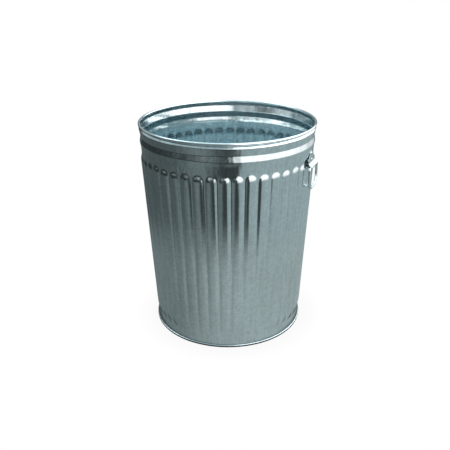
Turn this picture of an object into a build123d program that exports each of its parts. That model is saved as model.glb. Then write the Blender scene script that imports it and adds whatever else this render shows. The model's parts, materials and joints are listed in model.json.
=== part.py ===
from build123d import *
import os
from math import asin, atan2, cos, degrees, radians, sin, sqrt, tan

# Corrugated galvanised refuse can with two drop handles.
# Millimetres, +Z up. The origin is on the floor, under the centre of the can. The handles are on +X
# and -X. A depth is measured down from the top of the rim, and a radius from the can's axis.

# ------------------------------------------------------------------ the can as a whole
HEIGHT = 647.7
RIM_RADIUS = 264.9
SHEET = 0.8  # galvanised sheet of the wall and the bottom
SEAM_PLAY = 0.1  # between sheets or wire that are rolled into one another

# ------------------------------------------------------------------ rolled rim
BEAD_RADIUS = 3.9  # of the bead's round section
WIRE_RADIUS = BEAD_RADIUS - SHEET - SEAM_PLAY
BEAD_X = RIM_RADIUS - BEAD_RADIUS
BEAD_Z = HEIGHT - BEAD_RADIUS
CURL_SLOT = 45  # degrees left open between the curl's free edge and the wall

# ------------------------------------------------------------------ wall, outer face
# (depth, radius, radius of the bend there)
NECK = (8.5, RIM_RADIUS - 2 * BEAD_RADIUS + SHEET, 2.5)
UPPER_RING = (15.5, 263.2, 3)
UPPER_VALLEY = (36.5, 258.8, 4)
LOWER_RING = (54, 261.7, 5)
CONE_TOP = (70, 258.6, 5)
WAIST = (612, 231.2, 25)
FOOT_TOP = (638.7, 234, 12)
WALL_BENDS = [NECK, UPPER_RING, UPPER_VALLEY, LOWER_RING, CONE_TOP, WAIST, FOOT_TOP]
WALL_FOOT_Z = 1.0  # the wall's lower edge, in the foot seam

# ------------------------------------------------------------------ pressed ribs
RIB_COUNT = 44
RIB_PHASE = 3.7  # degrees from +X to the nearest rib
RIB_RADIUS = 29  # of the rib's round section
CREST_TOP = (112, 261.1)  # depth and radius where the straight crest starts
CREST_FOOT = (581, 235.6)  # and where it ends
RIB_TOP_SLOPE = 12  # degrees that the rib's upper end slopes back to the wall
RIB_TOP_BEND = 25  # between that slope and the crest
RIB_FOOT_RADIUS = 120  # the crest's curve back to the wall at the foot
RIB_TOP_RUN = 34  # how far each end is carried on, to under the wall's face
RIB_FOOT_RUN = 36
RIB_SHARE = 0.98  # of the wall around that the ribs may take between them
RIB_REACH = 12  # thickness of the ring that a rib is cut from
RIB_HOLLOW_REACH = 4  # how far inside the wall's face a rib's hollow may start

# ------------------------------------------------------------------ side seam
LAP_WIDTH = 12  # the sheet's inner edge, lapped over the outer one at -X
LAP_FOOT_Z = 26  # the lap is cut away below, where the bottom pan stands
LAP_BITE = 0.05  # how far the welded lap sinks into the sheet under it
LAP_STRIP = 60  # radial size of the block that cuts the lap out of the wall

# ------------------------------------------------------------------ bottom pan
FLOOR_Z = 24  # top of the raised panel
FLOOR_RIM_Z = 21  # top of the pan beside its skirt
PANEL_RADIUS = 165
PANEL_SLOPE = 20  # width of the slope around the raised panel
PANEL_BEND = 8
SKIRT_LEAN = 1.5  # how far the skirt leans in, up to the pan
SKIRT_BEND = 10
PAN_CORNER = 4  # inside radius between the pan and its skirt
FOOT_HEIGHT = 6.8
FOOT_RADIUS = 235.7
FOOT_INNER_EDGE = 0.6
FOOT_OUTER_EDGE = 1.0
FOOT_TOP_EDGE = 0.75

# ------------------------------------------------------------------ drop handles
HINGE_X = 267.4
HINGE_Z = HEIGHT - 113
BAIL_WIRE_RADIUS = 3.8
BAIL_HALF_WIDTH = 40  # to the middle of each leg
BAIL_DROP = 64  # hinge axis to the middle of the lower bar
BAIL_CORNER = 6
BAIL_BEND = 28
BAIL_END_GAP = 2  # the wire's two ends face each other inside the knuckle
HINGE_PLAY = 0.08

CLIP_SHEET = 1.4
CLIP_TOP = (72, 258.9)  # depth and radius of the clip's back face at its upper edge
CLIP_BEND = (102, 261.3)  # where it leans out towards the knuckle
CLIP_WRAP = 250  # degrees of the knuckle's curl
NECK_HALF_WIDTH = 14
KNUCKLE_HALF_WIDTH = 33
NECK_FOOT_DEPTH = 81
KNUCKLE_DEPTH = 91
KNUCKLE_FOOT_Z = HINGE_Z - 10  # under the whole knuckle
CLIP_TOP_TRIM = 2  # how far the outline runs above the clip's upper edge
CLIP_TOP_CORNER = 5
NECK_CORNER = 6
KNUCKLE_CORNER = 3
CLIP_BEND_RADIUS = 5

RIVET_DEPTHS = (77, 95)
RIVET_RADIUS = 2.4
RIVET_HOLE_RADIUS = 2.45
RIVET_HOLE_LENGTH = 40
HEAD_RADIUS = 4.6
HEAD_HEIGHT = 2.0
TAIL_RADIUS = 4.2
TAIL_HEIGHT = 1.4
TAIL_EDGE = 0.5
RIVET_GRIPS = (3.9, 6.25)  # clip's front face to the inside of the wall


def section(line_points, bends, shift=0.0):
    """A rounded line in the radius and height plane, moved towards the axis by shift."""
    points = [(radius - shift, HEIGHT - depth) for depth, radius in line_points]
    return FilletPolyline(*points, radius=bends)


def closed_face(*edges):
    return make_face(Curve() + list(edges))


def wall_face():
    """The wall's sheet from the rim bead down to its lower edge."""
    corners = [(depth, radius) for depth, radius, _ in WALL_BENDS]
    bends = [bend for _, _, bend in WALL_BENDS]
    ends = (BEAD_RADIUS, NECK[1]), (HEIGHT - WALL_FOOT_Z, FOOT_TOP[1])
    line = [ends[0], *corners, ends[1]]
    outer = section(line, bends)
    inner = section(line, bends, SHEET)
    return closed_face(outer, Line(outer @ 1, inner @ 1), inner, Line(inner @ 0, outer @ 0))


def curl_face():
    """The round bead that the wall's upper edge is rolled into."""
    reach = 2 * BEAD_RADIUS
    drop = reach * tan(radians(CURL_SLOT))
    slot = Polygon((0, 0), (-reach, 0), (-reach, -drop), align=None)
    ring = Circle(BEAD_RADIUS) - Circle(BEAD_RADIUS - SHEET) - slot
    return Pos(BEAD_X, BEAD_Z) * ring


def wall_radius(depth):
    """Outer radius of the plain cone between the ribs."""
    part = (depth - CONE_TOP[0]) / (WAIST[0] - CONE_TOP[0])
    return CONE_TOP[1] + part * (WAIST[1] - CONE_TOP[1])


def rib_body(inset):
    """A round bar along one rib whose ends dip in under the wall, thinner by inset."""
    top = Vector(CREST_TOP[1], 0, HEIGHT - CREST_TOP[0])
    foot = Vector(CREST_FOOT[1], 0, HEIGHT - CREST_FOOT[0])
    length = (top - foot).length
    along = (top - foot).normalized()
    side = Vector(0, 1, 0)
    outward = side.cross(along)
    centre = top - outward * RIB_RADIUS
    bar = Plane(origin=centre, x_dir=along, z_dir=along.cross(outward))
    crest = RIB_RADIUS - inset
    corner = -inset * tan(radians(RIB_TOP_SLOPE / 2))
    dip = (RIB_TOP_RUN - corner) * tan(radians(RIB_TOP_SLOPE))
    ridge = FilletPolyline(
        (RIB_TOP_RUN, crest - dip), (corner, crest), (-length, crest), radius=RIB_TOP_BEND - inset
    )
    foot_angle = degrees(asin(RIB_FOOT_RUN / RIB_FOOT_RADIUS))
    foot_arc = CenterArc(
        (-length, RIB_RADIUS - RIB_FOOT_RADIUS), RIB_FOOT_RADIUS - inset, 90, foot_angle
    )
    top_end = (RIB_TOP_RUN, 0)
    foot_end = ((foot_arc @ 1).X, 0)
    profile = closed_face(
        Line(top_end, ridge @ 0),
        ridge,
        foot_arc,
        Line(foot_arc @ 1, foot_end),
        Line(foot_end, top_end),
    )
    return revolve(bar * profile, Axis(centre, along))


def rib_sector(depth_in_wall):
    """The sector of the wall that one rib may take, from inside the sheet to beyond the crest."""
    top, foot = [(wall_radius(depth) - depth_in_wall, HEIGHT - depth) for depth in (CONE_TOP[0], WAIST[0])]
    top_outer = (top[0] + RIB_REACH, top[1])
    foot_outer = (foot[0] + RIB_REACH, foot[1])
    profile = Plane.XZ * Polygon(top, top_outer, foot_outer, foot, align=None)
    width = 360 / RIB_COUNT * RIB_SHARE
    return Rot(0, 0, -width / 2) * revolve(profile, Axis.Z, width)


def along_clip(depth):
    """A plane on the right clip's front face at a depth, facing out."""
    lean = atan2(CLIP_BEND[1] - CLIP_TOP[1], CLIP_BEND[0] - CLIP_TOP[0])
    out = Vector(cos(lean), 0, sin(lean))
    part = (depth - CLIP_TOP[0]) / (CLIP_BEND[0] - CLIP_TOP[0])
    radius = CLIP_TOP[1] + part * (CLIP_BEND[1] - CLIP_TOP[1])
    point = Vector(radius, 0, HEIGHT - depth) + out * CLIP_SHEET
    return Plane(origin=point, z_dir=out)


def rivet_holes():
    hole = Cylinder(RIVET_HOLE_RADIUS, RIVET_HOLE_LENGTH)
    return [along_clip(depth) * hole for depth in RIVET_DEPTHS]


def side_lap(shell):
    """The inner layer of the lapped side seam: a strip of the wall, moved in by one sheet."""
    top_z = HEIGHT - NECK[0]
    strip = Box(LAP_STRIP, LAP_WIDTH, top_z - LAP_FOOT_Z)
    place = Pos(-(RIM_RADIUS + WAIST[1]) / 2, 0, (top_z + LAP_FOOT_Z) / 2)
    return Pos(SHEET - LAP_BITE, 0, 0) * (shell & (place * strip))


def body_shell():
    profile = Plane.XZ * (wall_face() + curl_face())
    shell = revolve(profile, Axis.Z)
    skin = rib_body(0) & rib_sector(SHEET / 2)
    core = rib_body(SHEET)
    turns = [Rot(0, 0, RIB_PHASE + 360 / RIB_COUNT * i) for i in range(RIB_COUNT)]
    shell = shell + [turn * skin for turn in turns]
    shell = shell - [turn * (core & rib_sector(RIB_HOLLOW_REACH)) for turn in turns]
    shell = shell + side_lap(shell)
    for hole in rivet_holes():
        shell -= hole
        shell -= Rot(0, 0, 180) * hole
    return shell


def rim_wire():
    return Pos(0, 0, BEAD_Z) * Torus(BEAD_X, WIRE_RADIUS)


def bottom_pan():
    """Raised bottom. Its skirt stands in the wall's foot and folds up around the wall's edge."""
    wall_outer = FOOT_TOP[1]
    skirt_outer = wall_outer - SHEET - SEAM_PLAY
    skirt_inner = skirt_outer - SHEET
    fold_inner = wall_outer + SEAM_PLAY
    skirt_top_z = HEIGHT - FOOT_TOP[0]
    slope_end = PANEL_RADIUS + PANEL_SLOPE
    outline = [
        (0, FLOOR_Z - SHEET, 0),
        (PANEL_RADIUS, FLOOR_Z - SHEET, PANEL_BEND),
        (slope_end, FLOOR_RIM_Z - SHEET, PANEL_BEND),
        (skirt_inner - SKIRT_LEAN, FLOOR_RIM_Z - SHEET, PAN_CORNER),
        (skirt_inner, skirt_top_z, SKIRT_BEND),
        (skirt_inner, 0, FOOT_INNER_EDGE),
        (FOOT_RADIUS, 0, FOOT_OUTER_EDGE),
        (FOOT_RADIUS, FOOT_HEIGHT, FOOT_TOP_EDGE),
        (fold_inner, FOOT_HEIGHT, FOOT_TOP_EDGE),
        (fold_inner, WALL_FOOT_Z, 0),
        (skirt_outer, WALL_FOOT_Z, 0),
        (skirt_outer, skirt_top_z, SKIRT_BEND),
        (skirt_outer - SKIRT_LEAN, FLOOR_RIM_Z, PAN_CORNER + SHEET),
        (slope_end, FLOOR_RIM_Z, PANEL_BEND),
        (PANEL_RADIUS, FLOOR_Z, PANEL_BEND),
        (0, FLOOR_Z, 0),
    ]
    points = [(x, z) for x, z, _ in outline]
    bends = [bend for _, _, bend in outline]
    line = FilletPolyline(*points, radius=bends[1:-1])
    return revolve(Plane.XZ * closed_face(line, Line(line @ 1, line @ 0)), Axis.Z)


def right_clip():
    """Pressed clip, riveted to the wall, whose lower edge is rolled round the handle's upper bar."""
    knuckle = Vector(HINGE_X, HINGE_Z)
    curl = BAIL_WIRE_RADIUS + HINGE_PLAY + CLIP_SHEET / 2
    upper, bend = [(radius + CLIP_SHEET / 2, HEIGHT - depth) for depth, radius in (CLIP_TOP, CLIP_BEND)]
    to_knuckle = knuckle - Vector(*bend)
    lean = atan2(to_knuckle.Y, to_knuckle.X) + asin(curl / to_knuckle.length)
    run = sqrt(to_knuckle.length**2 - curl**2)
    slope = Vector(cos(lean), sin(lean))
    tangent = Vector(*bend) + slope * run
    flat = FilletPolyline(upper, bend, tangent, radius=CLIP_BEND_RADIUS)
    roll = JernArc(tangent, slope, curl, -CLIP_WRAP)
    side = Plane.XZ * trace(Curve() + [flat, roll], CLIP_SHEET)
    blank = extrude(side, KNUCKLE_HALF_WIDTH, both=True)
    half = [
        (NECK_HALF_WIDTH, HEIGHT - CLIP_TOP[0] + CLIP_TOP_TRIM, CLIP_TOP_CORNER),
        (NECK_HALF_WIDTH, HEIGHT - NECK_FOOT_DEPTH, NECK_CORNER),
        (KNUCKLE_HALF_WIDTH, HEIGHT - KNUCKLE_DEPTH, KNUCKLE_CORNER),
        (KNUCKLE_HALF_WIDTH, KNUCKLE_FOOT_Z, 0),
    ]
    corners = half + [(-y, z, bend_radius) for y, z, bend_radius in reversed(half)]
    front = FilletPolyline(
        *[(y, z) for y, z, _ in corners], radius=[r for _, _, r in corners], close=True
    )
    stencil = extrude(Plane.YZ * make_face(front), 2 * HINGE_X)
    clip = blank & stencil
    for hole in rivet_holes():
        clip -= hole
    return clip


def rivet(grip):
    """Domed head on +Z, shank through the sheets, flat formed tail."""
    dome = (HEAD_RADIUS**2 + HEAD_HEIGHT**2) / (2 * HEAD_HEIGHT)
    ball = Pos(0, 0, HEAD_HEIGHT - dome) * Sphere(dome)
    head = ball & Pos(0, 0, HEAD_HEIGHT / 2) * Cylinder(2 * HEAD_RADIUS, HEAD_HEIGHT)
    shank = Pos(0, 0, -grip / 2) * Cylinder(RIVET_RADIUS, grip)
    tail = Pos(0, 0, -grip - TAIL_HEIGHT / 2) * Cylinder(TAIL_RADIUS, TAIL_HEIGHT)
    tail = fillet(tail.edges().group_by(Axis.Z)[0], TAIL_EDGE)
    return head + shank + tail


def right_rivets(extra_grip=0.0):
    pairs = zip(RIVET_DEPTHS, RIVET_GRIPS)
    return Compound(children=[along_clip(depth) * rivet(grip + extra_grip) for depth, grip in pairs])


def right_bail():
    """D-shaped wire handle, hanging straight down from its upper bar."""
    points = [
        (BAIL_END_GAP / 2, HINGE_Z),
        (BAIL_HALF_WIDTH, HINGE_Z),
        (BAIL_HALF_WIDTH, HINGE_Z - BAIL_DROP),
        (-BAIL_HALF_WIDTH, HINGE_Z - BAIL_DROP),
        (-BAIL_HALF_WIDTH, HINGE_Z),
        (-BAIL_END_GAP / 2, HINGE_Z),
    ]
    bends = [BAIL_CORNER, BAIL_BEND, BAIL_BEND, BAIL_CORNER]
    flat = FilletPolyline(*points, radius=bends)
    path = Pos(HINGE_X, 0, 0) * (Plane.YZ * flat)
    end = Plane(origin=path @ 0, z_dir=path % 0)
    return sweep(end * Circle(BAIL_WIRE_RADIUS), path=path)


def save(node, shape):
    export_step(shape, os.path.join("parts", node + ".step"))


os.makedirs("parts", exist_ok=True)
save("body_shell", body_shell())
save("rim_wire", rim_wire())
save("bottom_pan", bottom_pan())
# The left clip is riveted through the side seam, so its rivets are one sheet longer.
for side_name, angle, extra_grip in (("right", 0, 0), ("left", 180, SHEET)):
    turn = Rot(0, 0, angle)
    save(side_name + "_handle_clip", turn * right_clip())
    save(side_name + "_clip_rivets", turn * right_rivets(extra_grip))
    save(side_name + "_bail_handle", turn * right_bail())
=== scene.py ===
import json
import math

import bpy
import numpy as np
from mathutils import Matrix, Vector


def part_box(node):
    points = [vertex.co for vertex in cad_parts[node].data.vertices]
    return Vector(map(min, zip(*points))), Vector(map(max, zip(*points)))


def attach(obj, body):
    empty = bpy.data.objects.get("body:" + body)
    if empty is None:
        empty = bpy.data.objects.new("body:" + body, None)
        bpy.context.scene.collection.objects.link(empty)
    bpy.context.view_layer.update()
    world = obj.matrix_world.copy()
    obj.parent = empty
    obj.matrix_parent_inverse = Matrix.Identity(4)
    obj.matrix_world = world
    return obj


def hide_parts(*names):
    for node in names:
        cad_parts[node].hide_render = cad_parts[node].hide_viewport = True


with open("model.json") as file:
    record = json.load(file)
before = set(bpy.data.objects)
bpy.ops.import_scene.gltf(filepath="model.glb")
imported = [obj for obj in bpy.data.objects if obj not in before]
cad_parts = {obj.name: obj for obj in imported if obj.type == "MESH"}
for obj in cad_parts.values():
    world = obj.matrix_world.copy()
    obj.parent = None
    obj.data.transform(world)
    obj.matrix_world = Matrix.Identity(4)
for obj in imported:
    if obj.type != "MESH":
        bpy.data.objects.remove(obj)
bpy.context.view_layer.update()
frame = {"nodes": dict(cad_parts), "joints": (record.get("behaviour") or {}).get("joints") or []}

# An open, rib-walled galvanised can with two drop handles, in metres.
# A depth is measured down from the top of the rim, and a radius from the can's axis.
# Azimuths are in degrees from +X, where the right handle is.

MM = 0.001
RANDOM = np.random.default_rng(11)

# ------------------------------------------------------------------ sizes, from the frame
SHELL_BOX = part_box("body_shell")
HEIGHT = SHELL_BOX[1].z
RIM_RADIUS = SHELL_BOX[1].y
HINGES = {joint["child"]: Vector(joint["pos_m"]) for joint in frame["joints"]}
HINGE = HINGES["right_bail"]
BAIL_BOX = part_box("right_bail_handle")
BAIL_WIRE = (BAIL_BOX[1].x - BAIL_BOX[0].x) / 2  # radius of its wire

SHEET = 0.8 * MM
PLAY = 0.1 * MM  # between sheets that are folded into one another
BEAD_RADIUS = 3.9 * MM
BEAD_TURN = 315  # degrees of the rim's curl
BEAD_X = RIM_RADIUS - BEAD_RADIUS
BEAD_Z = HEIGHT - BEAD_RADIUS

# the wall's outer face: depth, radius, radius of the bend there
WALL_BENDS = [
    (8.5 * MM, RIM_RADIUS - 2 * BEAD_RADIUS + SHEET, 2.5 * MM),
    (15.5 * MM, 263.2 * MM, 3 * MM),
    (36.5 * MM, 258.8 * MM, 4 * MM),
    (54 * MM, 261.7 * MM, 5 * MM),
    (70 * MM, 258.6 * MM, 90 * MM),
    (612 * MM, 231.2 * MM, 25 * MM),
    (638.7 * MM, 234 * MM, 12 * MM),
]
WALL_FOOT_Z = 1.0 * MM

RIB_COUNT = 44
RIB_PHASE = 3.7  # degrees from +X to the nearest rib
RIB_HALF_WIDTH = 16 * MM
RIB_FULLNESS = 2.8  # power of the section's curve: higher is flatter on top and steeper at the sides
CREST_TOP = (108 * MM, 261.32 * MM)  # depth and radius of the crest's straight line at its top
CREST_FOOT = (581 * MM, 235.6 * MM)
RIB_TOP_SLOPE = math.tan(math.radians(18))
RIB_TOP_BEND = 50 * MM
RIB_FOOT_CURVE = 120 * MM
RIB_BLEND = 1.2 * MM  # how softly a rib meets the wall
DENTED = ((-103, 22), (68, 18))  # azimuth and width of two patches of dents above the ribs

LAP_HALF_WIDTH = 6 * MM
LAP_EDGE = 0.25 * MM
LAP_RADIUS = 245 * MM  # the wall's mean radius, which turns a width into an angle
LAP_STEP = 0.75 * MM  # how far the inner sheet of the lap stands in
LAP_SWELL = 0.3 * MM  # how far the outer sheet's edge stands out
LAP_SWELL_REACH = 0.05  # radians over which that dies away
LAP_FOOT = 26 * MM  # the lap ends at this height, above the bottom pan


# ------------------------------------------------------------------ drawing helpers
def spin(angle):
    """A turn in the plane, as a matrix."""
    return np.array([[math.cos(angle), -math.sin(angle)], [math.sin(angle), math.cos(angle)]])


def subdivided(line, longest):
    """The line's points, with more between them wherever a step is longer than longest."""
    points = []
    for a, b in zip(line, line[1:]):
        steps = max(1, round(np.linalg.norm(b - a) / longest))
        points += [a + (b - a) * k / steps for k in range(steps)]
    return points


def rounded(points, bends, arc_steps=6):
    """A line through points with its inner corners rounded to the given radii."""
    out = [np.array(points[0], float)]
    for i in range(1, len(points) - 1):
        before, corner, after = (np.array(points[i + k], float) for k in (-1, 0, 1))
        to_before = (before - corner) / np.linalg.norm(before - corner)
        to_after = (after - corner) / np.linalg.norm(after - corner)
        half = math.acos(np.clip(to_before @ to_after, -1, 1)) / 2
        radius = bends[i - 1]
        if radius <= 0 or half > math.radians(89.9):
            out.append(corner)
            continue
        setback = radius / math.tan(half)
        bisector = (to_before + to_after) / np.linalg.norm(to_before + to_after)
        centre = corner + bisector * radius / math.sin(half)
        start = corner + to_before * setback - centre
        end = corner + to_after * setback - centre
        turn = math.atan2(start[0] * end[1] - start[1] * end[0], start @ end)
        for k in range(arc_steps + 1):
            out.append(centre + spin(turn * k / arc_steps) @ start)
    out.append(np.array(points[-1], float))
    return np.array(out)


def add_mesh(name, vertices, faces, sharp_rows=None):
    """A smooth-shaded mesh object. Edges whose two ends are both in sharp_rows stay crisp."""
    mesh = bpy.data.meshes.new(name)
    mesh.from_pydata([tuple(v) for v in vertices], [], faces)
    mesh.update()
    mesh.polygons.foreach_set("use_smooth", [True] * len(mesh.polygons))
    if sharp_rows is not None:
        pairs = np.empty(len(mesh.edges) * 2, int)
        mesh.edges.foreach_get("vertices", pairs)
        pairs = pairs.reshape(-1, 2)
        rows = np.asarray(sharp_rows)
        crisp = rows[pairs[:, 0]] & rows[pairs[:, 1]]
        layer = mesh.attributes.new("sharp_edge", "BOOLEAN", "EDGE")
        layer.data.foreach_set("value", crisp)
    obj = bpy.data.objects.new(name, mesh)
    bpy.context.scene.collection.objects.link(obj)
    return obj


def ring_faces(rows, columns, close_rows=True):
    """Quads of a grid that closes on itself along its columns and, if asked, its rows."""
    faces = []
    for i in range(rows if close_rows else rows - 1):
        a = i * columns
        b = (i + 1) % rows * columns
        for j in range(columns):
            k = (j + 1) % columns
            faces.append((a + j, a + k, b + k, b + j))
    return faces


def lathe(name, profile, columns=288, matrix=Matrix.Identity(4)):
    """A turned piece. Its profile runs from axis to axis, or closes on itself off the axis."""
    vertices = []
    rows = list(profile)
    start_on_axis = rows[0][0] < 1e-7
    end_on_axis = rows[-1][0] < 1e-7
    body = rows[1 if start_on_axis else 0 : -1 if end_on_axis else None]
    for r, z in body:
        for j in range(columns):
            a = 2 * math.pi * j / columns
            vertices.append((r * math.cos(a), r * math.sin(a), z))
    faces = ring_faces(len(body), columns, close_rows=not start_on_axis)
    if start_on_axis:
        first, last = len(vertices), len(vertices) + 1
        vertices += [(0, 0, rows[0][1]), (0, 0, rows[-1][1])]
        tail = (len(body) - 1) * columns
        for j in range(columns):
            k = (j + 1) % columns
            faces.append((first, k, j))
            faces.append((last, tail + j, tail + k))
    vertices = [matrix @ Vector(v) for v in vertices]
    return add_mesh(name, vertices, faces)


def face_outward(obj):
    """Turns a closed piece's faces to look outward."""
    bpy.context.view_layer.objects.active = obj
    obj.select_set(True)
    bpy.ops.object.mode_set(mode="EDIT")
    bpy.ops.mesh.select_all(action="SELECT")
    bpy.ops.mesh.normals_make_consistent(inside=False)
    bpy.ops.object.mode_set(mode="OBJECT")
    obj.select_set(False)


def place(obj, body, material, slot, *nodes):
    """Gives a piece its finish and its body, and lets it stand for its CAD nodes."""
    obj.data.materials.clear()
    obj.data.materials.append(material)
    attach(obj, body)
    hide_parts(*nodes)


# ------------------------------------------------------------------ the wall
def crest_radius(depth):
    """Radius of a rib's crest, straight between its ends and curving in past them."""
    (top, top_radius), (foot, foot_radius) = CREST_TOP, CREST_FOOT
    slope = (foot_radius - top_radius) / (foot - top)
    radius = top_radius + slope * (depth - top)
    half_bend = RIB_TOP_BEND * RIB_TOP_SLOPE / 2
    into_bend = np.clip(top + half_bend - depth, 0, 2 * half_bend)
    past_bend = np.maximum(0, top - half_bend - depth)
    over_foot = np.maximum(0, depth - foot)
    dip = into_bend**2 / (2 * RIB_TOP_BEND) + past_bend * RIB_TOP_SLOPE
    return radius - dip - over_foot**2 / (2 * RIB_FOOT_CURVE)


def crest_height(depth):
    """Height of the crest's straight line over the wall's cone."""
    (top, top_radius), (foot, foot_radius) = CREST_TOP, CREST_FOOT
    part = (depth - top) / (foot - top)
    cone_top, cone_foot = WALL_BENDS[4], WALL_BENDS[5]
    cone_part = (depth - cone_top[0]) / (cone_foot[0] - cone_top[0])
    cone = cone_top[1] + cone_part * (cone_foot[1] - cone_top[1])
    return top_radius + part * (foot_radius - top_radius) - cone


def waves(theta, depth, count, turns, cycles, size):
    """A sum of random waves that closes around the can; cycles is per metre of depth."""
    total = np.zeros(np.broadcast(theta, depth).shape)
    for _ in range(count):
        n = RANDOM.integers(turns[0], turns[1] + 1)
        m = RANDOM.uniform(-cycles, cycles)
        phase = RANDOM.uniform(0, 2 * math.pi)
        total += np.cos(n * theta + 2 * math.pi * m * depth + phase)
    return total * size / math.sqrt(count / 2)


def smooth_step(low, high, value):
    t = np.clip((value - low) / (high - low), 0, 1)
    return t * t * (3 - 2 * t)


def rib_height(theta, depth, base):
    """How far the ribs stand out of the plain wall."""
    pitch = 2 * math.pi / RIB_COUNT
    place_in_ribs = (theta - math.radians(RIB_PHASE)) / pitch
    index = np.round(place_in_ribs).astype(int) % RIB_COUNT
    raise_each = RANDOM.normal(0, 0.12 * MM, RIB_COUNT)[index]
    shift_each = RANDOM.normal(0, 0.35 * MM, RIB_COUNT)[index]
    start_each = RANDOM.normal(0, 1.0 * MM, RIB_COUNT)[index]
    across = (place_in_ribs - np.round(place_in_ribs)) * pitch * base + shift_each
    crest = crest_radius(depth + start_each) + raise_each - base
    full_height = np.maximum(crest_height(depth), 1 * MM)
    section = crest - full_height * np.abs(across / RIB_HALF_WIDTH) ** RIB_FULLNESS
    return 0.5 * (section + np.sqrt(section**2 + RIB_BLEND**2))


def wall_rows():
    """Depths of the wall's rows, close together where its shape changes fast."""
    foot = 646.7
    stretches = [  # from, to, step, all in mm
        (8.5, 80, 1.5),
        (80, 126, 1.4),
        (126, 150, 4),
        (150, 560, 14),
        (560, 615, 3),
        (615, foot, 2),
    ]
    depths = [BEAD_RADIUS / MM, 6.2]
    for start, end, step in stretches:
        count = round((end - start) / step)
        depths += list(start + (end - start) * np.arange(count) / count)
    depths.append(foot)
    return np.array(depths) * MM


def wall_base(depths):
    """Radius of the plain wall's outer face, without ribs."""
    corners = [(depth, radius) for depth, radius, _ in WALL_BENDS]
    bends = [bend for _, _, bend in WALL_BENDS]
    line = [(BEAD_RADIUS, corners[0][1]), *corners, (HEIGHT - WALL_FOOT_Z, corners[-1][1])]
    curve = rounded(line, bends, 10)
    return np.interp(depths, curve[:, 0], curve[:, 1])


def wall_columns():
    """Angles of the wall's columns, with crisp pairs at the two edges of the side lap."""
    per_rib = 16
    count = RIB_COUNT * per_rib
    angles = list(np.arange(count) * 2 * math.pi / count)
    lap = LAP_HALF_WIDTH / LAP_RADIUS
    edge = LAP_EDGE / LAP_RADIUS
    for side in (-1, 1):
        angles += [math.pi + side * lap, math.pi + side * (lap + edge)]
    angles = np.array(sorted(angles))
    apart = np.append(np.diff(angles) > 0.0006, True)
    return angles[apart]


def wall_surface():
    """Outer radius of the wall for each row and column, with its ribs and small dents."""
    depths = wall_rows()
    theta = wall_columns()
    depth, angle = np.meshgrid(depths, theta, indexing="ij")
    base = wall_base(depths)[:, None] + np.zeros_like(angle)
    ribs = rib_height(angle, depth, base) * smooth_step(62 * MM, 78 * MM, depth)
    pitch_wave = np.cos(RIB_COUNT * (angle - math.radians(RIB_PHASE)))
    gather = smooth_step(40 * MM, 84 * MM, depth) * smooth_step(120 * MM, 96 * MM, depth)
    dents = 0.10 * MM * gather * pitch_wave
    bands = smooth_step(7 * MM, 20 * MM, depth) * smooth_step(110 * MM, 80 * MM, depth)
    dents += bands * waves(angle, depth, 26, (60, 170), 9, 0.035 * MM)
    drawn = smooth_step(64 * MM, 82 * MM, depth) * smooth_step(150 * MM, 108 * MM, depth)
    for middle, width in DENTED:
        away = (angle - math.radians(middle) + math.pi) % (2 * math.pi) - math.pi
        patch = np.exp(-((away / math.radians(width)) ** 2))
        dents += drawn * patch * waves(angle, depth, 40, (70, 170), 30, 0.22 * MM)
    dents += drawn * waves(angle, depth, 40, (50, 150), 40, 0.03 * MM)
    dents += bands * waves(angle, depth, 18, (14, 50), 12, 0.07 * MM)
    body = smooth_step(12 * MM, 60 * MM, depth) * smooth_step(640 * MM, 600 * MM, depth)
    dents += body * waves(angle, depth, 16, (3, 14), 3, 0.20 * MM)
    dents += body * waves(angle, depth, 30, (30, 90), 14, 0.045 * MM)
    return depths, theta, base + ribs + dents


def wall():
    """The wall with its rolled rim: up the inner face, around the curl, back inside it and down."""
    depths, theta, outer = wall_surface()
    lap = np.abs(theta - math.pi) <= LAP_HALF_WIDTH / LAP_RADIUS + 1e-9
    lap_rows = (depths > 9 * MM) & (depths < HEIGHT - LAP_FOOT)
    inner = outer - SHEET - LAP_STEP * lap[None, :] * lap_rows[:, None]
    beyond = np.clip((theta - math.pi) - LAP_HALF_WIDTH / LAP_RADIUS, 0, None)
    swell = np.where(beyond > 0, LAP_SWELL * np.exp(-beyond / LAP_SWELL_REACH), 0)
    outer = outer + swell[None, :] * lap_rows[:, None]
    columns = len(theta)
    rows_r, rows_z, sharp = [], [], []

    def add_rows(radii, heights, crisp=False):
        for r, z in zip(radii, heights):
            rows_r.append(np.broadcast_to(r, columns))
            rows_z.append(z)
            sharp.append(crisp)

    order = range(len(depths))
    for i in reversed(order):
        add_rows([inner[i]], [HEIGHT - depths[i]], crisp=i == len(depths) - 1)
    for k in range(1, 31):
        a = math.radians(180 - BEAD_TURN * k / 30)
        radius, height = BEAD_X + BEAD_RADIUS * math.cos(a), BEAD_Z + BEAD_RADIUS * math.sin(a)
        add_rows([radius], [height], crisp=k == 30)
    inside = BEAD_RADIUS - SHEET
    for k in range(15):
        a = math.radians(180 - BEAD_TURN * (1 - k / 15))
        radius, height = BEAD_X + inside * math.cos(a), BEAD_Z + inside * math.sin(a)
        add_rows([radius], [height], crisp=k == 0)
    for i in order:
        add_rows([outer[i]], [HEIGHT - depths[i]], crisp=i == len(depths) - 1)
    r = np.array(rows_r)
    x = r * np.cos(theta)
    y = r * np.sin(theta)
    z = np.repeat(np.array(rows_z)[:, None], columns, axis=1)
    vertices = np.stack([x, y, z], -1).reshape(-1, 3)
    return add_mesh(
        "side_wall", vertices, ring_faces(len(rows_r), columns), np.repeat(sharp, columns)
    )


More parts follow.
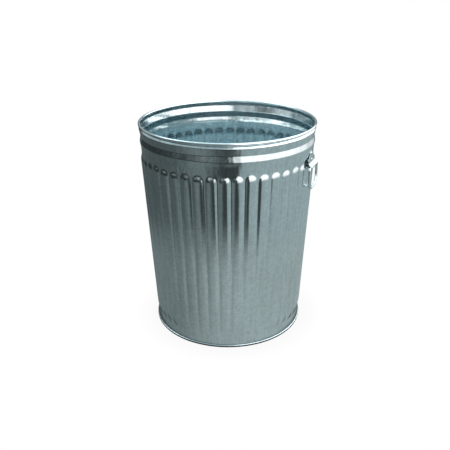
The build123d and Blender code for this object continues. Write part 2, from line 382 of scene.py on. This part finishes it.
# ------------------------------------------------------------------ bottom pan
def pan():
    """Raised panel, skirt and the fold that takes in the wall's lower edge, turned as one sheet."""
    wall_outer = WALL_BENDS[-1][1]
    skirt_outer = wall_outer - SHEET - PLAY
    skirt_inner = skirt_outer - SHEET
    fold_inner = wall_outer + PLAY
    foot_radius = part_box("bottom_pan")[1].y - 0.02 * MM
    foot_height = 6.8 * MM
    skirt_top, lean = 9 * MM, 1.5 * MM
    floor, floor_rim = 24 * MM, 21 * MM
    panel, slope_end = 165 * MM, 185 * MM
    outline = [  # radius, height, radius of the bend there
        (0, floor - SHEET, 0),
        (60 * MM, floor - SHEET, 0),
        (120 * MM, floor - SHEET, 0),
        (panel, floor - SHEET, 8 * MM),
        (slope_end, floor_rim - SHEET, 8 * MM),
        (skirt_inner - lean, floor_rim - SHEET, 4 * MM),
        (skirt_inner, skirt_top, 10 * MM),
        (skirt_inner, 0, 0.6 * MM),
        (foot_radius, 0, 1.6 * MM),
        (foot_radius, foot_height, 0.9 * MM),
        (fold_inner, foot_height, 0.65 * MM),
        (fold_inner, WALL_FOOT_Z, 0),
        (skirt_outer, WALL_FOOT_Z, 0),
        (skirt_outer, skirt_top, 10 * MM),
        (skirt_outer - lean, floor_rim, 4.8 * MM),
        (slope_end, floor_rim, 8 * MM),
        (panel, floor, 8 * MM),
        (120 * MM, floor, 0),
        (60 * MM, floor, 0),
        (0, floor, 0),
    ]
    points = [(x, z) for x, z, _ in outline]
    bends = [bend for _, _, bend in outline][1:-1]
    return lathe("bottom_pan_pressing", rounded(points, bends), 352)


# ------------------------------------------------------------------ handle clips
CLIP_SHEET = 1.4 * MM
CLIP_TOP = (72 * MM, 258.9 * MM)
CLIP_BEND = (102 * MM, 261.3 * MM)
CLIP_WRAP = 250  # degrees of the knuckle's curl
CLIP_CORNER = 5 * MM
HINGE_PLAY = 0.08 * MM
NECK_HALF = 14 * MM
KNUCKLE_HALF = 33 * MM
NECK_FOOT_DEPTH = 81 * MM
KNUCKLE_DEPTH = 91 * MM


def clip_path():
    """The clip's section down its middle: plate, bend, slope and the curl round the handle."""
    upper, bend = [
        np.array([radius + CLIP_SHEET / 2, HEIGHT - depth]) for depth, radius in (CLIP_TOP, CLIP_BEND)
    ]
    axis = np.array([HINGE.x, HINGE.z])
    curl = BAIL_WIRE + HINGE_PLAY + CLIP_SHEET / 2
    gap = axis - bend
    distance = np.linalg.norm(gap)
    lean = math.atan2(gap[1], gap[0]) + math.asin(curl / distance)
    run = math.sqrt(distance**2 - curl**2)
    slope = np.array([math.cos(lean), math.sin(lean)])
    tangent = bend + slope * run
    plate_bend = 5 * MM
    line = rounded([upper, bend, tangent], [plate_bend], 8)
    points = subdivided(line, 1.2 * MM)
    start = tangent - axis
    steps = 40
    for k in range(steps + 1):
        points.append(axis + spin(-math.radians(CLIP_WRAP) * k / steps) @ start)
    return np.array(points)


def clip_half_width(points):
    """Half the clip's width along its section: a neck that flares into the knuckle."""
    widths = []
    top = points[0][1]
    past_knuckle = False
    outline = [
        (0, NECK_HALF),
        (NECK_FOOT_DEPTH, NECK_HALF),
        (KNUCKLE_DEPTH, KNUCKLE_HALF),
        (200 * MM, KNUCKLE_HALF),
    ]
    outline = rounded(outline, [8 * MM, 4 * MM], 8)
    for x, z in points:
        depth = HEIGHT - z
        if depth > KNUCKLE_DEPTH + 3 * MM:
            past_knuckle = True
        half = float(np.interp(depth, outline[:, 0], outline[:, 1]))
        if past_knuckle:
            half = KNUCKLE_HALF
        into_corner = CLIP_CORNER - (top - z)
        if into_corner > 0:
            half -= CLIP_CORNER - math.sqrt(max(0, CLIP_CORNER**2 - into_corner**2))
        widths.append(half)
    return widths


def clip(name, turn):
    """The pressed clip: its section swept across its width, then given the sheet's thickness."""
    points = clip_path()
    widths = clip_half_width(points)
    across = 20
    vertices, faces = [], []
    for (x, z), half in zip(points, widths):
        for k in range(across + 1):
            vertices.append(turn @ Vector((x, half * (2 * k / across - 1), z)))
    for i in range(len(points) - 1):
        for k in range(across):
            a = i * (across + 1) + k
            faces.append((a, a + 1, a + across + 2, a + across + 1))
    obj = add_mesh(name, vertices, faces)
    thick = obj.modifiers.new("thickness", "SOLIDIFY")
    thick.thickness = CLIP_SHEET
    thick.offset = 0
    edge = obj.modifiers.new("edges", "BEVEL")
    edge.width = 0.35 * MM
    edge.segments = 3
    edge.limit_method = "ANGLE"
    edge.angle_limit = math.radians(50)
    return obj


# ------------------------------------------------------------------ rivets
RIVETS = (("upper", 77 * MM, 3.9 * MM), ("lower", 95 * MM, 6.25 * MM))  # name, depth, grip


def clip_face(depth):
    """A frame on the right clip's front face: its origin there and its Z axis out of the face."""
    lean = math.atan2(CLIP_BEND[1] - CLIP_TOP[1], CLIP_BEND[0] - CLIP_TOP[0])
    out = Vector((math.cos(lean), 0, math.sin(lean)))
    part = (depth - CLIP_TOP[0]) / (CLIP_BEND[0] - CLIP_TOP[0])
    radius = CLIP_TOP[1] + part * (CLIP_BEND[1] - CLIP_TOP[1])
    point = Vector((radius, 0, HEIGHT - depth)) + out * CLIP_SHEET
    side = Vector((0, 1, 0))
    basis = Matrix((side.cross(out), side, out)).transposed().to_4x4()
    return Matrix.Translation(point) @ basis


def rivet(name, depth, grip, turn):
    """Domed head, shank and flat tail, turned about the rivet's own axis."""
    head, dome, shank, tail, tail_height = 4.6 * MM, 2.0 * MM, 2.4 * MM, 4.2 * MM, 1.4 * MM
    ball = (head**2 + dome**2) / (2 * dome)
    reach = math.asin(head / ball)
    angles = [reach * k / 12 for k in range(13)]
    profile = [(ball * math.sin(a), dome - ball + ball * math.cos(a)) for a in angles]
    profile += [(shank, 0), (shank, -grip), (tail, -grip)]
    edge = 0.5 * MM
    tail_z = -grip - tail_height
    profile += [
        (tail - edge + edge * math.cos(a), tail_z + edge - edge * math.sin(a))
        for a in np.radians([0, 30, 60, 90])
    ]
    profile += [(tail * 0.5, tail_z), (0, tail_z)]
    return lathe(name, profile, 40, turn @ clip_face(depth))


# ------------------------------------------------------------------ bails
def bail(name, turn):
    """Wire bent into a D, with its two ends facing each other inside the knuckle."""
    half = BAIL_BOX[1].y - BAIL_WIRE
    low = BAIL_BOX[0].z + BAIL_WIRE
    gap = 1 * MM
    one_half = [(gap, HINGE.z), (half, HINGE.z), (half, low)]
    points = one_half + [(-y, z) for y, z in reversed(one_half)]
    end_bend, corner_bend = 6 * MM, 28 * MM
    line = rounded(points, [end_bend, corner_bend, corner_bend, end_bend], 16)
    path = np.array([*subdivided(line, 4 * MM), line[-1]])
    along = np.gradient(path, axis=0)
    along /= np.linalg.norm(along, axis=1)[:, None]
    sides = 24
    vertices = []
    for (y, z), (ty, tz) in zip(path, along):
        for k in range(sides):
            a = 2 * math.pi * k / sides
            out = Vector((1, 0, 0)) * math.cos(a) + Vector((0, -tz, ty)) * math.sin(a)
            vertices.append(turn @ (Vector((HINGE.x, y, z)) + out * BAIL_WIRE))
    faces = ring_faces(len(path), sides, close_rows=False)
    for row, order in ((0, -1), (len(path) - 1, 1)):
        faces.append(tuple(row * sides + k for k in range(sides)[::order]))
    return add_mesh(name, vertices, faces)


# ------------------------------------------------------------------ materials
ZINC = (0.82, 0.89, 0.91)
DULL_SHADED_RADIUS = 233 * MM  # the bottom pan is dull and dark inside it, the dark a painted shade for the can's deep inside, and bright from there to its fold
BRIGHT_ROUGHNESS = 0.12  # of that outer part


def node(tree, kind, inputs=(), **settings):
    """A shader node with its inputs linked or set."""
    made = tree.nodes.new("ShaderNode" + kind)
    for key, value in settings.items():
        setattr(made, key, value)
    for key, value in inputs:
        if isinstance(value, bpy.types.NodeSocket):
            tree.links.new(value, made.inputs[key])
        else:
            made.inputs[key].default_value = value
    return made


def mix_colour(tree, blend, factor, first, second):
    inputs = [(0, factor), (6, first), (7, second)]
    return node(tree, "Mix", inputs, data_type="RGBA", blend_type=blend).outputs[2]


def ramp(tree, value, low, high, low_out=0.0, high_out=1.0, interpolation="LINEAR"):
    """A value carried from low..high to low_out..high_out, and held there beyond."""
    limits = [("From Min", low), ("From Max", high), ("To Min", low_out), ("To Max", high_out)]
    made = node(tree, "MapRange", [("Value", value), *limits], interpolation_type=interpolation)
    return made.outputs["Result"]


def smooth_ramp(tree, value, *limits):
    """The same, with soft ends."""
    return ramp(tree, value, *limits, interpolation="SMOOTHSTEP")


def combined(tree, operation, first, second):
    """Two values joined by one of the Math node's operations."""
    return node(tree, "Math", [(0, first), (1, second)], operation=operation).outputs[0]


def galvanised(name, colour, roughness, spangle=140.0, streak=0.5, bump=0.10, dull_shaded_within=0.0):
    """Zinc-coated steel: small crystals that differ a little in tone and gloss, rolling streaks,
    a fine grain, soft clouding from the zinc bath and lighter edges, partly rubbed wear and partly
    a painted highlight. Beyond the given radius from the can's axis a dull finish, in the colour
    given (for the bottom pan a dark one, painted shade), turns into a bright one, like the wall's."""
    material = bpy.data.materials.new(name)
    material.use_nodes = True
    tree = material.node_tree
    tree.nodes.clear()
    place_in_can = node(tree, "TexCoord").outputs["Object"]
    warp = node(tree, "TexNoise", [("Vector", place_in_can), ("Scale", 45.0), ("Detail", 2.0)])
    warped = node(
        tree,
        "VectorMath",
        [(0, warp.outputs["Color"]), (1, (0.012, 0.012, 0.012))],
        operation="MULTIPLY",
    )
    moved = node(tree, "VectorMath", [(0, place_in_can), (1, warped.outputs[0])], operation="ADD")
    crystals = node(tree, "TexVoronoi", [("Vector", moved.outputs[0]), ("Scale", spangle)])
    crystal = node(tree, "SeparateColor", [("Color", crystals.outputs["Color"])])
    streak_map = node(tree, "Mapping", [("Vector", place_in_can), ("Scale", (110.0, 110.0, 4.0))])
    streaks = node(
        tree, "TexNoise", [("Vector", streak_map.outputs[0]), ("Scale", 1.0), ("Detail", 4.0)]
    )
    clouds = node(tree, "TexNoise", [("Vector", place_in_can), ("Scale", 7.0), ("Detail", 3.0)])
    grain = node(tree, "TexNoise", [("Vector", place_in_can), ("Scale", 900.0), ("Detail", 2.0)])
    # edges found by pointiness are made lighter: partly rubbed wear, partly a painted highlight
    edge = node(tree, "NewGeometry").outputs["Pointiness"]
    rubbed_and_highlit_edge = ramp(tree, edge, 0.53, 0.60)

    darker = tuple(c * 0.93 for c in colour) + (1.0,)
    lighter = tuple(min(1.0, c * 1.05) for c in colour) + (1.0,)
    tone = mix_colour(tree, "MIX", ramp(tree, crystal.outputs[0], 0.1, 0.9), darker, lighter)
    drawn = ramp(tree, streaks.outputs["Fac"], 0.36, 0.62, 1.0 - 0.2 * streak, 1.0)
    shade = ramp(tree, clouds.outputs["Fac"], 0.3, 0.7, 0.95, 1.03)
    shade = combined(tree, "MULTIPLY", shade, drawn)
    shade_rgb = node(tree, "CombineColor", [(0, shade), (1, shade), (2, shade)]).outputs[0]
    tone = mix_colour(tree, "MULTIPLY", 1.0, tone, shade_rgb)
    worn_and_highlit = tuple(min(1.0, c * 1.15) for c in colour) + (1.0,)
    tone = mix_colour(tree, "MIX", rubbed_and_highlit_edge, tone, worn_and_highlit)

    rough = ramp(tree, crystal.outputs[1], 0.0, 1.0, roughness - 0.02, roughness + 0.03)
    rough_cloud = ramp(tree, clouds.outputs["Fac"], 0.3, 0.7, -0.02, 0.03)
    rough = combined(tree, "ADD", rough, rough_cloud)
    # within the radius the finish keeps the colour given, for the bottom pan a dark painted shade;
    # beyond it the wall's bright zinc
    if dull_shaded_within:
        _, distance, _ = from_axis(tree, place_in_can)
        outside = ramp(tree, distance, dull_shaded_within, dull_shaded_within + 0.0005)
        tone = mix_colour(tree, "MIX", outside, tone, (*ZINC, 1.0))
        rough = node(tree, "Mix", [(0, outside), (2, rough), (3, BRIGHT_ROUGHNESS)]).outputs[0]

    height = combined(tree, "ADD", crystal.outputs[2], grain.outputs["Fac"])
    surface = node(
        tree, "Bump", [("Height", height), ("Strength", bump), ("Distance", 0.0003)]
    ).outputs["Normal"]
    shader = node(
        tree,
        "BsdfPrincipled",
        [("Base Color", tone), ("Metallic", 1.0), ("Roughness", rough), ("Normal", surface)],
    )
    out = node(tree, "OutputMaterial")
    tree.links.new(shader.outputs[0], out.inputs["Surface"])
    return material


# ------------------------------------------------------------------ studio
def from_axis(tree, vector):
    """A vector's flat direction, its length on the floor plane and its height."""
    part = node(tree, "SeparateXYZ", [("Vector", vector)])
    flat = node(tree, "CombineXYZ", [(0, part.outputs[0]), (1, part.outputs[1])]).outputs[0]
    length = node(tree, "VectorMath", [(0, flat)], operation="LENGTH").outputs["Value"]
    direction = node(tree, "VectorMath", [(0, flat)], operation="NORMALIZE").outputs[0]
    return direction, length, part.outputs[2]


def sector(tree, direction, middle, half, soft):
    """1 inside a sector of azimuths and 0 outside it; soft is half its edges' width, in degrees."""
    along = Vector((math.cos(math.radians(middle)), math.sin(math.radians(middle)), 0))
    cosine = node(
        tree, "VectorMath", [(0, direction), (1, along)], operation="DOT_PRODUCT"
    ).outputs["Value"]
    angle = node(tree, "Math", [(0, cosine)], operation="ARCCOSINE").outputs[0]
    low, high = math.radians(half - soft), math.radians(half + soft)
    return smooth_ramp(tree, angle, low, high, 1.0, 0.0)


def show_by_ray(tree, output, mirrored, seen):
    """One light for the camera's own rays, and another for what the zinc mirrors."""
    camera_ray = node(tree, "LightPath").outputs["Is Camera Ray"]
    both = node(tree, "MixShader", [(0, camera_ray), (1, mirrored), (2, seen)]).outputs[0]
    out = node(tree, output)
    tree.links.new(both, out.inputs["Surface"])


LOW_GLOWS = [  # azimuth, half width, softness, sine of the lowest height, level
    (-96.0, 14.0, 8.0, 0.06, 0.55),
    (-118.0, 12.0, 8.0, 0.02, 0.17),
    (-170.0, 34.0, 12.0, 0.01, 0.60),
]


def build_world():
    """A soft sky, bright on one side like a large window, dim low down on the other, and white
    where the camera sees it."""
    world = bpy.data.worlds.new("studio")
    bpy.context.scene.world = world
    world.use_nodes = True
    tree = world.node_tree
    tree.nodes.clear()
    direction, _, up = from_axis(tree, node(tree, "TexCoord").outputs["Generated"])

    def patch(azimuth, half, soft, limits):
        around = sector(tree, direction, azimuth, half, soft)
        return combined(tree, "MULTIPLY", around, ramp(tree, up, *limits))

    window = patch(12.5, 69.5, 3.0, (0.60, 0.80, 1.0, 0.3))
    low_end = patch(-49.0, 14.0, 1.5, (0.03, 0.06))
    low_end = combined(tree, "MAXIMUM", low_end, patch(-60.0, 14.0, 3.0, (0.09, 0.13)))
    low_end = combined(tree, "MULTIPLY", low_end, ramp(tree, up, 0.30, 0.42, 1.0, 0.0))
    window = combined(tree, "MAXIMUM", window, low_end)
    uneven = node(tree, "TexNoise", [("Vector", direction), ("Scale", 4.0), ("Detail", 3.0)])
    uneven = ramp(tree, uneven.outputs["Fac"], 0.38, 0.60)
    light = mix_colour(tree, "MIX", uneven, (1.0, 1.0, 1.0, 1), (1.7, 1.7, 1.7, 1))
    light = mix_colour(tree, "MULTIPLY", ramp(tree, up, 0.16, 0.30), light, (2.0, 2.1, 2.1, 1))

    low_sky, sky, behind, overhead = (
        (0.055, 0.072, 0.078, 1),
        (0.36, 0.45, 0.47, 1),
        (2.1, 2.6, 2.75, 1),
        (0.7, 0.86, 0.92, 1),
    )
    colour = mix_colour(tree, "MIX", ramp(tree, up, 0.12, 0.20), low_sky, sky)
    colour = mix_colour(tree, "MIX", patch(130.0, 60.0, 20.0, (0.55, 0.70)), colour, behind)
    colour = mix_colour(tree, "MIX", ramp(tree, up, 0.86, 0.95), colour, overhead)
    low = ramp(tree, up, 0.16, 0.24, 1.0, 0.0)
    for azimuth, half, soft, start, level in LOW_GLOWS:
        glow = patch(azimuth, half, soft, (start, start + 0.06, 0.25, 1.0))
        glow = combined(tree, "MULTIPLY", glow, low)
        shown = (0.9 * level, level, 1.02 * level, 1)
        colour = mix_colour(tree, "MIX", glow, colour, shown)
    colour = mix_colour(tree, "MIX", window, colour, light)

    background = node(tree, "Background", [("Color", colour), ("Strength", 1.0)]).outputs[0]
    seen = node(tree, "Background", [("Color", (1.0, 1.0, 1.0, 1)), ("Strength", 1.0)]).outputs[0]
    show_by_ray(tree, "OutputWorld", background, seen)


FLOOR_TONES = [  # azimuth, level
    (-180, 0.10),
    (-135, 0.10),
    (-112, 0.17),
    (-96, 0.18),
    (-84, 0.10),
    (-77, 0.05),
    (-57, 0.05),
    (-50, 0.36),
    (-20, 0.42),
    (70, 0.42),
    (97, 0.14),
    (180, 0.10),
]


def build_floor():
    """A plain pale floor, seen nearly white, with a painted contact shadow from ambient occlusion
    round the can. The can mirrors it as a lit patch round its foot, with a near-black painted contact
    shadow right at the foot, darker further out on one side and rising to the bright window on the
    other."""
    half = 60.0
    corners = [(-half, -half, 0), (half, -half, 0), (half, half, 0), (-half, half, 0)]
    floor = add_mesh("floor", corners, [(0, 1, 2, 3)])
    material = bpy.data.materials.new("pale_floor")
    material.use_nodes = True
    tree = material.node_tree
    tree.nodes.clear()
    direction, distance, _ = from_axis(tree, node(tree, "TexCoord").outputs["Object"])
    flat = node(tree, "SeparateXYZ", [("Vector", direction)])
    turn = combined(tree, "ARCTAN2", flat.outputs[1], flat.outputs[0])
    turn = ramp(tree, turn, -math.pi, math.pi)
    around = node(tree, "ValToRGB", [("Fac", turn)])
    stops = around.color_ramp.elements
    for azimuth, _ in FLOOR_TONES[1:-1]:
        stops.new((azimuth + 180) / 360)
    for stop, (azimuth, level) in zip(stops, FLOOR_TONES):
        stop.position = (azimuth + 180) / 360
        stop.color = (0.81 * level, level, 1.02 * level, 1)
    dark, near_dim, near_bright, painted_contact_shadow_tone, bright, brightest = (
        (0.032, 0.040, 0.041, 1),
        (0.165, 0.20, 0.20, 1),
        (0.345, 0.405, 0.405, 1),
        (0.012, 0.015, 0.015, 1),
        (0.80, 0.83, 0.83, 1),
        (1.25, 1.25, 1.25, 1),
    )
    left = sector(tree, direction, -150.0, 62.0, 8.0)
    gap = combined(tree, "MULTIPLY", ramp(tree, distance, 2.2, 2.8), left)
    far_tone = mix_colour(tree, "MIX", gap, around.outputs["Color"], dark)
    near_side = sector(tree, direction, 0.0, 92.0, 42.0)
    near_tone = mix_colour(tree, "MIX", near_side, near_dim, near_bright)
    glow = mix_colour(tree, "MIX", smooth_ramp(tree, distance, 0.60, 1.06), near_tone, far_tone)
    side = sector(tree, direction, 12.5, 69.5, 5.0)
    rise = combined(tree, "MULTIPLY", side, smooth_ramp(tree, distance, 2.2, 3.6))
    bright_side = mix_colour(tree, "MIX", smooth_ramp(tree, distance, 3.8, 7.0), bright, brightest)
    glow = mix_colour(tree, "MIX", rise, glow, bright_side)
    # right round the can's foot the mirrored glow falls to a near-black tone: a painted contact
    # shadow
    glow = mix_colour(tree, "MIX", ramp(tree, distance, 0.238, 0.262), painted_contact_shadow_tone, glow)
    lit = node(tree, "Emission", [("Color", glow), ("Strength", 1.0)]).outputs[0]
    # the floor the camera sees is emission, darkened by ambient occlusion near the can: a painted
    # contact shadow
    shade = node(tree, "AmbientOcclusion", [("Distance", 0.12)]).outputs["AO"]
    pale = ramp(tree, shade, 0.0, 0.9, 0.86, 1.0)
    pale_rgb = node(tree, "CombineColor", [(0, pale), (1, pale), (2, pale)]).outputs[0]
    seen = node(tree, "Emission", [("Color", pale_rgb), ("Strength", 1.0)]).outputs[0]
    show_by_ray(tree, "OutputMaterial", lit, seen)
    floor.data.materials.append(material)


def build_camera():
    """The view: 1.8 m from the can's axis, above its rim, 68 degrees round from the right handle."""
    distance = 1.7965
    azimuth = math.radians(-68)
    height = HEIGHT + 0.4392
    data = bpy.data.cameras.new("camera")
    data.lens = 49.05
    data.sensor_width = 36.0
    camera = bpy.data.objects.new("camera", data)
    bpy.context.scene.collection.objects.link(camera)
    place_of_camera = Vector((distance * math.cos(azimuth), distance * math.sin(azimuth), height))
    aside, down, roll_angle = (math.radians(angle) for angle in (0.29, 23.549, -0.390))
    heading = Matrix.Rotation(azimuth + math.pi / 2 + aside, 4, "Z")
    tilt = Matrix.Rotation(math.pi / 2 - down, 4, "X")
    roll = Matrix.Rotation(roll_angle, 4, "Z")
    camera.matrix_world = Matrix.Translation(place_of_camera) @ heading @ tilt @ roll
    bpy.context.scene.camera = camera


# ------------------------------------------------------------------ build
build_camera()
build_world()
build_floor()
bpy.context.scene.view_settings.view_transform = "Standard"
bpy.context.scene.cycles.glossy_bounces = 10

zinc_wall = galvanised("galvanised_wall", ZINC, 0.10)
# the bottom pan's dark colour is painted shade for the deep inside of the can
zinc_bottom_painted_shade = galvanised("galvanised_bottom", (0.26, 0.285, 0.30), 0.50, dull_shaded_within=DULL_SHADED_RADIUS)
zinc_clip = galvanised("galvanised_clip", (0.60, 0.66, 0.67), 0.24, spangle=300.0, streak=0.2)
zinc_bail = galvanised("galvanised_bail", (0.66, 0.72, 0.73), 0.28, spangle=400.0, streak=0.1)
zinc_rivet = galvanised("zinc_rivet", (0.60, 0.64, 0.65), 0.20, spangle=600.0, streak=0.0)
steel_wire = galvanised("rim_wire_steel", (0.60, 0.61, 0.62), 0.28, spangle=500.0, streak=0.2)

side_wall = wall()
face_outward(side_wall)
place(side_wall, "can", zinc_wall, "galvanised_wall", "body_shell")
bottom = pan()
face_outward(bottom)
place(bottom, "can", zinc_bottom_painted_shade, "galvanised_bottom", "bottom_pan")

frame["nodes"]["rim_wire"].data.materials.clear()
frame["nodes"]["rim_wire"].data.materials.append(steel_wire)

for side_name, angle, extra_grip in (("right", 0, 0), ("left", 180, SHEET)):
    turn = Matrix.Rotation(math.radians(angle), 4, "Z")
    plate = clip(side_name + "_clip_pressing", turn)
    place(plate, "can", zinc_clip, "galvanised_clip", side_name + "_handle_clip")
    for rivet_name, depth, grip in RIVETS:
        piece = rivet(f"{side_name}_{rivet_name}_rivet", depth, grip + extra_grip, turn)
        face_outward(piece)
        place(piece, "can", zinc_rivet, "rivet", side_name + "_clip_rivets")
    wire = bail(side_name + "_bail_wire", turn)
    face_outward(wire)
    place(wire, side_name + "_bail", zinc_bail, "galvanised_bail", side_name + "_bail_handle")
